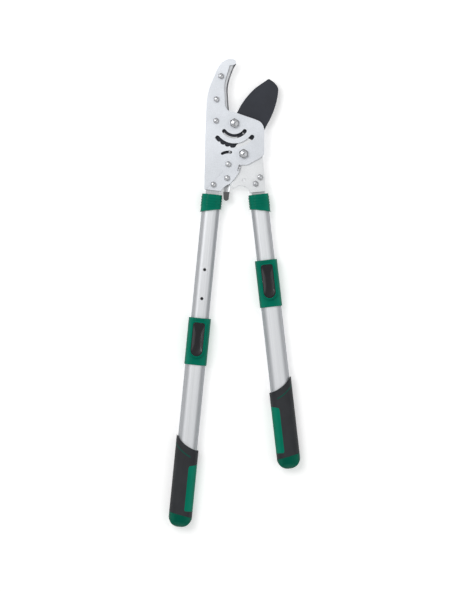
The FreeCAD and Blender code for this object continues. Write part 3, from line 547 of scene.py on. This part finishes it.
WHITE_PLASTIC = Moulded("washer_plastic", srgb(205, 205, 200), 0.4)
RUBBER = GripRubber("grip_rubber", srgb(46, 48, 51))
PAPER = Paper("backdrop", srgb(252, 252, 252))


# ---- bench work -----------------------------------------------------------------------------------
def clear_bench() -> None:
    """Leave edit mode and select nothing."""
    active = bpy.context.view_layer.objects.active
    if active and active.mode != "OBJECT":
        bpy.ops.object.mode_set(mode="OBJECT")
    bpy.ops.object.select_all(action="DESELECT")


def take(piece: bpy.types.Object) -> None:
    """Select one piece alone and make it active.

    Args:
        piece: The piece to work on.
    """
    clear_bench()
    piece.select_set(True)
    bpy.context.view_layer.objects.active = piece


def open_mesh(piece: bpy.types.Object) -> None:
    """Open one piece in edit mode with nothing selected.

    Args:
        piece: The piece to open.
    """
    take(piece)
    bpy.ops.object.mode_set(mode="EDIT")
    bpy.ops.mesh.select_all(action="DESELECT")


def pick(piece: bpy.types.Object, chosen: Place, kind: str = "FACE") -> int:
    """Select faces, edges or points by their place and normal, in edit mode.

    Args:
        piece: The open piece.
        chosen: Test of a place and a normal.
        kind: FACE, EDGE or VERT.

    Returns:
        How many were selected.
    """
    bpy.ops.mesh.select_mode(type=kind)
    bpy.ops.mesh.select_all(action="DESELECT")
    work = bmesh.from_edit_mesh(piece.data)
    work.normal_update()
    count = 0
    if kind == "FACE":
        for face in work.faces:
            if chosen(face.calc_center_median(), face.normal):
                face.select_set(True)
                count += 1
    elif kind == "EDGE":
        for edge in work.edges:
            middle = (edge.verts[0].co + edge.verts[1].co) / 2
            normal = sum((face.normal for face in edge.link_faces), Vector())
            if chosen(middle, normal.normalized()):
                edge.select_set(True)
                count += 1
    else:
        for point in work.verts:
            if chosen(point.co, point.normal):
                point.select_set(True)
                count += 1
    bmesh.update_edit_mesh(piece.data)
    return count


def lift_copy(node: str, name: str) -> bpy.types.Object:
    """Copy a CAD node into a clean mesh that can be worked on.

    Args:
        node: The CAD node.
        name: Name of the new piece.

    Returns:
        The new piece.
    """
    take(frame["nodes"][node])
    bpy.ops.object.duplicate()
    piece = bpy.context.view_layer.objects.active
    piece.name = name
    piece.data.name = name
    del piece["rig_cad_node"]
    bpy.ops.object.parent_clear(type="CLEAR_KEEP_TRANSFORM")
    bpy.ops.mesh.customdata_custom_splitnormals_clear()
    bpy.ops.object.mode_set(mode="EDIT")
    bpy.ops.mesh.select_all(action="SELECT")
    bpy.ops.mesh.remove_doubles(threshold=0.000002)
    bpy.ops.mesh.dissolve_limited(angle_limit=math.radians(0.5))
    bpy.ops.object.mode_set(mode="OBJECT")
    return piece


def ease_edges(piece: bpy.types.Object, width: float, segments: int = 2, angle: float = 34.0) -> None:
    """Break a piece's sharp edges and shade it smooth with flat faces kept flat.

    Args:
        piece: The piece.
        width: Width of the broken edge.
        segments: Steps round it.
        angle: Edges sharper than this many degrees are broken.
    """
    take(piece)
    bevel = piece.modifiers.new("broken_edges", "BEVEL")
    bevel.width = width
    bevel.segments = segments
    bevel.limit_method = "ANGLE"
    bevel.angle_limit = math.radians(angle)
    bevel.use_clamp_overlap = True
    bpy.ops.object.modifier_apply(modifier=bevel.name)
    smooth(piece)


def smooth(piece: bpy.types.Object, angle: float = 40.0) -> None:
    """Shade a piece smooth, with normals led by its large faces.

    Args:
        piece: The piece.
        angle: Edges sharper than this many degrees stay sharp.
    """
    take(piece)
    bpy.ops.object.shade_smooth_by_angle(angle=math.radians(angle))
    weighted = piece.modifiers.new("flat_faces", "WEIGHTED_NORMAL")
    weighted.keep_sharp = True
    bpy.ops.object.modifier_apply(modifier=weighted.name)


def mount(piece: bpy.types.Object, body: str, slot: Slot, finish: Finish, *nodes: str) -> None:
    """Dress a finished piece and put it on its body.

    Args:
        piece: The finished piece.
        body: The CAD body it rides on.
        slot: The part's material slot for the piece; not used.
        finish: Its finish.
        nodes: CAD nodes that it stands for.
    """
    clear_bench()
    finish.coat(piece)
    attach(piece, body)
    if nodes:
        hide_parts(*nodes)
    log.info("%s rides on %s, %d faces", piece.name, body, len(piece.data.polygons))


def dress(finish: Finish, *nodes: str) -> None:
    """Give CAD nodes that are shown as they are their finish.

    Args:
        finish: The finish.
        nodes: The CAD nodes.
    """
    for name in nodes:
        finish.coat(frame["nodes"][name])
        log.info("%s keeps its shape, in %s", name, finish.name)


def middle_of(node: str) -> Vector:
    """Give the middle of a CAD node's box."""
    low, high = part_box(node)
    return (low + high) / 2


# ---- head -----------------------------------------------------------------------------------------
@dataclass
class HeadPlates:
    """Front and rear plate and the counter blade of the hook."""

    plate_edge: float = 0.0007
    land_edge: float = 0.0021
    hook_edge: float = 0.0002
    body: str = "fixed_side"

    def build(self) -> None:
        """Build the two plates and the counter blade."""
        for node in ("front_plate", "rear_plate"):
            plate = lift_copy(node, node + "_stamped")
            ease_edges(plate, self.plate_edge)
            mount(plate, self.body, Slot.SATIN_PLATE, SATIN_PLATE, node)
        self.counter_blade()

    def counter_blade(self) -> None:
        """Grind the inner edge of the counter blade to a broad slanting land."""
        low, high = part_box("counter_blade")
        hook = lift_copy("counter_blade", "counter_blade_ground")
        open_mesh(hook)
        pick(hook, lambda place, normal: abs(place.z - high.z) < 0.1 * MM and normal.x > 0.25
             and place.y > low.y + 8 * MM, "EDGE")
        bpy.ops.mesh.bevel(offset=self.land_edge, offset_type="OFFSET", segments=1, affect="EDGES")
        ease_edges(hook, self.hook_edge)
        mount(hook, self.body, Slot.GROUND_STEEL, STEEL, "counter_blade")


@dataclass
class CuttingBlade:
    """Coated blade with its ground cutting edge on the far side, its spring post and its washers."""

    edge: float = 0.0003
    grind: float = 0.87
    heart_from_corner: tuple[float, float] = (0.026, 0.044)
    body: str = "cutting_blade"

    def build(self) -> None:
        """Build the leaf and dress the parts behind it."""
        low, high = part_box("blade")
        leaf = lift_copy("blade", "blade_coated")
        open_mesh(leaf)
        across, along = self.heart_from_corner
        heart = Vector((high.x - across, high.y - along, low.z))
        pick(leaf, lambda place, normal: abs(place.z - low.z) < 0.05 * MM
             and place.y - heart.y > 0.64 * (place.x - heart.x) + 18 * MM
             and place.x > heart.x - 42.5 * MM and place.x < heart.x + 7 * MM, "VERT")
        bpy.ops.transform.resize(value=(self.grind, self.grind, 1.0), center_override=heart)
        ease_edges(leaf, self.edge)
        mount(leaf, self.body, Slot.BLADE, BLADE_COAT, "blade")
        dress(ZINC, "blade_spring_post")
        dress(SPRING, "blade_return_spring")
        dress(WHITE_PLASTIC, "blade_washers")


@dataclass
class Hardware:
    """Nuts, bolts and screws of the head."""

    chamfer: float = 0.0004
    crown: float = 0.0011
    sets: tuple[tuple[str, str], ...] = (
        ("pivot_nuts", "fixed_side"), ("frame_nuts", "fixed_side"), ("hook_nuts", "fixed_side"),
        ("lever_nuts", "lever"))
    ends: tuple[tuple[str, str], ...] = (
        ("pivot_bolts", "fixed_side"), ("frame_screws", "fixed_side"), ("hook_screws", "fixed_side"),
        ("lever_screws", "lever"))

    def build(self) -> None:
        """Build every set of nuts and every set of bolts."""
        for node, body in self.sets:
            nuts = lift_copy(node, node + "_chamfered")
            ease_edges(nuts, self.chamfer, 2, 24.0)
            mount(nuts, body, Slot.ZINC, ZINC, node)
        for node, body in self.ends:
            self.crowned(node, body)
        dress(BUSH, "pivot_bushes")
        dress(STEEL, "left_tang", "lever_tang")
        dress(ZINC, "frame_sleeves", "drive_pawl_pin")

    def crowned(self, node: str, body: str) -> None:
        """Raise and round the ends of a set of bolts, which fill their nuts.

        Args:
            node: The CAD node of the set.
            body: The body that it rides on.
        """
        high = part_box(node)[1]
        bolts = lift_copy(node, node + "_crowned")
        open_mesh(bolts)
        pick(bolts, lambda place, normal: normal.z > 0.9 and high.z - place.z < 0.3 * MM)
        for step, share in ((self.crown, 0.94), (self.crown * 0.45, 0.72), (self.crown * 0.15, 0.45)):
            bpy.ops.mesh.extrude_region_move(TRANSFORM_OT_translate={"value": (0.0, 0.0, step)})
            self.shrink_each(bolts, share)
        bpy.ops.object.mode_set(mode="OBJECT")
        ease_edges(bolts, 0.0002, 1, 50.0)
        mount(bolts, body, Slot.ZINC, ZINC, node)

    def shrink_each(self, bolts: bpy.types.Object, share: float) -> None:
        """Shrink each selected end about its own middle.

        Args:
            bolts: The open piece.
            share: Share of the size that is left.
        """
        work = bmesh.from_edit_mesh(bolts.data)
        for face in [face for face in work.faces if face.select]:
            heart = face.calc_center_median()
            bmesh.ops.scale(work, vec=(share, share, 1.0), space=Matrix.Translation(-heart),
                            verts=list(face.verts))
        bmesh.update_edit_mesh(bolts.data)


@dataclass
class Lever:
    """The moving side's cheeks, and the small strap on the front plate beside them."""

    edge: float = 0.0006
    anchor_long: float = 0.0078
    anchor_wide: float = 0.0032
    anchor_high: float = 0.0012
    anchor_from_pivot: tuple[float, float, float] = (-0.0074, -0.0229, 0.0)
    anchor_body: str = "fixed_side"
    body: str = "lever"

    def build(self) -> None:
        """Build the cheeks and the spring anchor."""
        for node in ("lever_front_cheek", "lever_rear_cheek"):
            cheek = lift_copy(node, node + "_stamped")
            ease_edges(cheek, self.edge)
            mount(cheek, self.body, Slot.SATIN_PLATE, LEVER_PLATE, node)
        dress(STEEL, "lever_pivot_spacer")
        self.spring_anchor()

    def spring_anchor(self) -> None:
        """Bend the small strap that stands on the front plate's edge."""
        spacer = middle_of("lever_pivot_spacer")
        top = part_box("front_plate")[1].z
        place = Vector((spacer.x, spacer.y, top + self.anchor_high / 2)) + Vector(self.anchor_from_pivot)
        clear_bench()
        bpy.ops.mesh.primitive_cube_add(size=1.0, location=place)
        strap = bpy.context.view_layer.objects.active
        strap.name = "spring_anchor"
        strap.scale = (self.anchor_wide, self.anchor_long, self.anchor_high)
        strap.rotation_euler = (0.0, 0.0, math.radians(-13.0))
        bpy.ops.object.transform_apply(location=True, rotation=True, scale=True)
        open_mesh(strap)
        pick(strap, lambda at, normal: normal.z > 0.9)
        bpy.ops.mesh.inset(thickness=0.0006)
        bpy.ops.transform.translate(value=(0.0, 0.0, -0.0007))
        pick(strap, lambda at, normal: normal.y > 0.9)
        bpy.ops.mesh.extrude_region_move(TRANSFORM_OT_translate={"value": (0.0004, 0.0022, 0.0004)})
        bpy.ops.object.mode_set(mode="OBJECT")
        ease_edges(strap, 0.00025)
        mount(strap, self.anchor_body, Slot.ZINC, ZINC)


@dataclass
class Pawls:
    """Driving pawl on the lever and holding pawl with its thumb pin."""

    edge: float = 0.0003

    def build(self) -> None:
        """Build the two pawls and dress the thumb pin."""
        for node in ("drive_pawl", "holding_pawl"):
            pawl = lift_copy(node, node + "_hardened")
            ease_edges(pawl, self.edge)
            mount(pawl, node, Slot.BLADE, BLADE_COAT, node)
        pin = lift_copy("thumb_pin", "thumb_pin_rounded")
        ease_edges(pin, 0.0005, 3)
        mount(pin, "holding_pawl", Slot.ZINC, ZINC, "thumb_pin")


@dataclass
class SafetyCatch:
    """Steel catch arm with its moulded grey tab."""

    edge: float = 0.0008
    arm_rim: float = 0.0016
    arm_sunk: float = 0.0006
    arm_edge: float = 0.0003
    body: str = "safety_catch"

    def build(self) -> None:
        """Build the arm and the tab."""
        arm = lift_copy("catch_arm", "catch_arm_pressed")
        open_mesh(arm)
        pick(arm, lambda place, normal: normal.z > 0.9)
        bpy.ops.mesh.inset(thickness=self.arm_rim)
        bpy.ops.transform.translate(value=(0.0, 0.0, -self.arm_sunk))
        bpy.ops.object.mode_set(mode="OBJECT")
        ease_edges(arm, self.arm_edge)
        mount(arm, self.body, Slot.GROUND_STEEL, STEEL, "catch_arm")
        tab = lift_copy("catch_tab", "catch_tab_moulded")
        ease_edges(tab, self.edge, 3)
        mount(tab, self.body, Slot.GREY, GREY, "catch_tab")


# ---- handles --------------------------------------------------------------------------------------
@dataclass
class Handle:
    """One telescopic handle, from its ribbed head collar to its domed end cap."""

    side: Side
    upper_body: str
    pin_from_head: float = 0.016
    lock_from_head: float = 0.1195
    rib_edge: float = 0.0003
    foot_lip: float = 0.0013
    foot_flare: float = 1.085
    collar_edge: float = 0.0009
    grip_edge: float = 0.0009
    pad_edge: float = 0.0003
    cap_edge: float = 0.0008
    dish_rings: tuple[tuple[float, float], ...] = (
        (0.90, 0.0001), (0.84, 0.0004), (0.72, 0.0004), (0.50, 0.0002))
    head: Vector = field(init=False)
    slid_head: Vector = field(init=False)
    down: Vector = field(init=False)
    inner: Vector = field(init=False)

    def __post_init__(self) -> None:
        """Find the handle's line from its slide and its pins."""
        slide = next(joint for joint in frame["joints"] if joint["name"] == self.name("handle_slide"))
        self.down = Vector(slide["axis"])
        self.inner = Vector((-self.down.y, self.down.x, 0.0)) * self.side.value
        self.head = middle_of(self.name("tang_pin")) - self.down * self.pin_from_head
        self.slid_head = middle_of(self.name("lock_pin")) - self.down * self.lock_from_head

    def name(self, piece: str) -> str:
        """Give a piece's name with this handle's word in front."""
        return self.side.word + "_" + piece

    @property
    def lower_body(self) -> str:
        """Name the sliding body."""
        return self.name("lower_handle")

    def tube_finish(self) -> SatinTube:
        """Give the tube finish with its drawing lines along this handle."""
        turn = math.atan2(self.down.x, -self.down.y)
        return SatinTube(self.name("satin_tube"), srgb(246, 248, 251), turn=-turn)

    def build(self) -> None:
        """Build the handle's pieces from the head down."""
        dress(self.tube_finish(), self.name("upper_tube"), self.name("lower_tube"))
        dress(ZINC, self.name("tang_pin"), self.name("lock_axle"), self.name("lock_pin"))
        dress(SPRING, self.name("lock_spring"))
        dress(WHITE_PLASTIC, self.name("guide_bush"), self.name("tube_plug"))
        dress(BLACK, self.name("end_plug"))
        self.head_collar()
        self.lock_collar()
        self.lock_pad()
        self.grip()
        self.end_cap()

    def head_collar(self) -> None:
        """Round the collar's ribs and flare its foot."""
        collar = lift_copy(self.name("head_collar"), self.name("head_collar_ribbed"))
        open_mesh(collar)
        pick(collar, lambda place, normal: normal.dot(self.down) > 0.8
             and (place - self.head).dot(self.down) > 22.9 * MM)
        bpy.ops.mesh.extrude_region_move(TRANSFORM_OT_translate={"value": self.down * self.foot_lip})
        foot = self.head + self.down * 26.0 * MM
        bpy.ops.transform.resize(value=(self.foot_flare, 1.0, self.foot_flare), center_override=foot)
        bpy.ops.object.mode_set(mode="OBJECT")
        ease_edges(collar, self.rib_edge)
        mount(collar, self.upper_body, Slot.GREEN, GREEN, self.name("head_collar"))

    def lock_collar(self) -> None:
        """Round the collar that carries the lock."""
        collar = lift_copy(self.name("lock_collar"), self.name("lock_collar_moulded"))
        ease_edges(collar, self.collar_edge, 3)
        mount(collar, self.lower_body, Slot.GREEN, GREEN, self.name("lock_collar"))

    def lock_pad(self) -> None:
        """Dish the top of the thumb pad in rings that shrink towards its middle."""
        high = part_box(self.name("lock_pad"))[1]
        pad = lift_copy(self.name("lock_pad"), self.name("lock_pad_dished"))
        open_mesh(pad)
        pick(pad, lambda place, normal: normal.z > 0.9 and high.z - place.z < 0.1 * MM)
        heart = middle_of(self.name("lock_pad"))
        for share, drop in self.dish_rings:
            bpy.ops.mesh.extrude_region_move(TRANSFORM_OT_translate={"value": (0.0, 0.0, -drop)})
            bpy.ops.transform.resize(value=(share, share, 1.0), center_override=heart)
        bpy.ops.object.mode_set(mode="OBJECT")
        ease_edges(pad, self.pad_edge, 2, 60.0)
        mount(pad, self.name("lock"), Slot.BLACK, BLACK_GLOSS, self.name("lock_pad"))

    def grip(self) -> None:
        """Round the grip's edges and lay in its stripe and its green panel."""
        grip = lift_copy(self.name("grip_sleeve"), self.name("grip_sleeve_moulded"))
        ease_edges(grip, self.grip_edge, 3)
        mount(grip, self.lower_body, Slot.RUBBER, RUBBER, self.name("grip_sleeve"))
        dress(DIM_GREEN, self.name("grip_stripe"))
        dress(GREEN_INLAY, self.name("grip_inlay"))

    def end_cap(self) -> None:
        """Round the joint of the domed end cap."""
        cap = lift_copy(self.name("end_cap"), self.name("end_cap_domed"))
        ease_edges(cap, self.cap_edge, 3)
        mount(cap, self.lower_body, Slot.GREEN, CAP_GREEN, self.name("end_cap"))


# ---- studio ---------------------------------------------------------------------------------------
@dataclass(frozen=True)
class SoftBox:
    """One rectangular soft light that faces the loppers."""

    name: str
    place: tuple[float, float, float]
    size: float
    power: float

    def build(self, aim: Vector) -> None:
        """Hang the light.

        Args:
            aim: The point it faces.
        """
        data = bpy.data.lights.new(self.name, "AREA")
        data.shape = "SQUARE"
        data.size = self.size
        data.energy = self.power
        lamp = bpy.data.objects.new(self.name, data)
        bpy.context.scene.collection.objects.link(lamp)
        lamp.location = self.place
        lamp.rotation_euler = (aim - Vector(self.place)).to_track_quat("-Z", "Y").to_euler()


@dataclass
class Studio:
    """Pale floor, soft light and a camera that looks straight down."""

    view_high: float = 0.9176
    camera_above: float = 3.6
    centre: tuple[float, float] = (0.0040, -0.0045)
    floor_half: float = 6.0
    lights: tuple[SoftBox, ...] = (
        SoftBox("key_light", (-1.1, 1.0, 2.8), 1.6, 32.0),
        SoftBox("fill_light", (1.6, -0.4, 2.8), 2.2, 9.0))
    sky_power: float = 0.88
    horizon: float = 0.16
    overhead_dim: float = 0.8

    def build(self) -> None:
        """Build floor, sky, lights and camera."""
        self.floor()
        self.sky()
        for light in self.lights:
            light.build(Vector((0.0, 0.0, 0.0)))
        self.camera()
        bpy.context.scene.view_settings.view_transform = "Standard"

    def sky(self) -> None:
        """Light the room from a pale ceiling that is dim at the walls and straight overhead."""
        world = bpy.data.worlds.new("studio_sky")
        bpy.context.scene.world = world
        board = Board(world)
        way = board.node("ShaderNodeTexCoord", {}, {}, "Generated")
        height = board.node("ShaderNodeSeparateXYZ", {}, {0: way}, 2)
        glow = height.ramp(0.2, 0.75) * (self.sky_power - self.horizon) + self.horizon
        strength = glow * (1.0 - height.ramp(0.86, 0.97) * self.overhead_dim)
        board.end("ShaderNodeOutputWorld", board.node("ShaderNodeBackground", {}, {"Strength": strength}))

    def floor(self) -> None:
        """Lay the floor just under the loppers."""
        clear_bench()
        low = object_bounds()[0]
        bpy.ops.mesh.primitive_grid_add(x_subdivisions=4, y_subdivisions=4, size=2 * self.floor_half,
                                        location=(0.0, 0.0, low.z - 0.0003))
        floor = bpy.context.view_layer.objects.active
        floor.name = "backdrop"
        bpy.ops.object.transform_apply(location=True, rotation=True, scale=True)
        PAPER.coat(floor)
        floor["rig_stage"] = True

    def camera(self) -> None:
        """Hang the camera straight above the middle of the view."""
        data = bpy.data.cameras.new("camera_above")
        data.sensor_fit = "VERTICAL"
        data.sensor_height = 24.0
        data.lens = 24.0 * (self.camera_above - 0.015) / self.view_high
        data.clip_end = 40.0
        camera = bpy.data.objects.new("camera_above", data)
        bpy.context.scene.collection.objects.link(camera)
        camera.location = (self.centre[0], self.centre[1], self.camera_above)
        bpy.context.scene.camera = camera


def main() -> None:
    """Build the loppers from the head down, then the studio."""
    logging.basicConfig(level=logging.INFO, format="%(name)s: %(message)s")
    for assembly in (HeadPlates(), CuttingBlade(), Hardware(), Lever(), Pawls(), SafetyCatch(),
                     Handle(Side.LEFT, "fixed_side"), Handle(Side.RIGHT, "lever")):
        assembly.build()
    Studio().build()


if __name__ == "__main__":
    main()
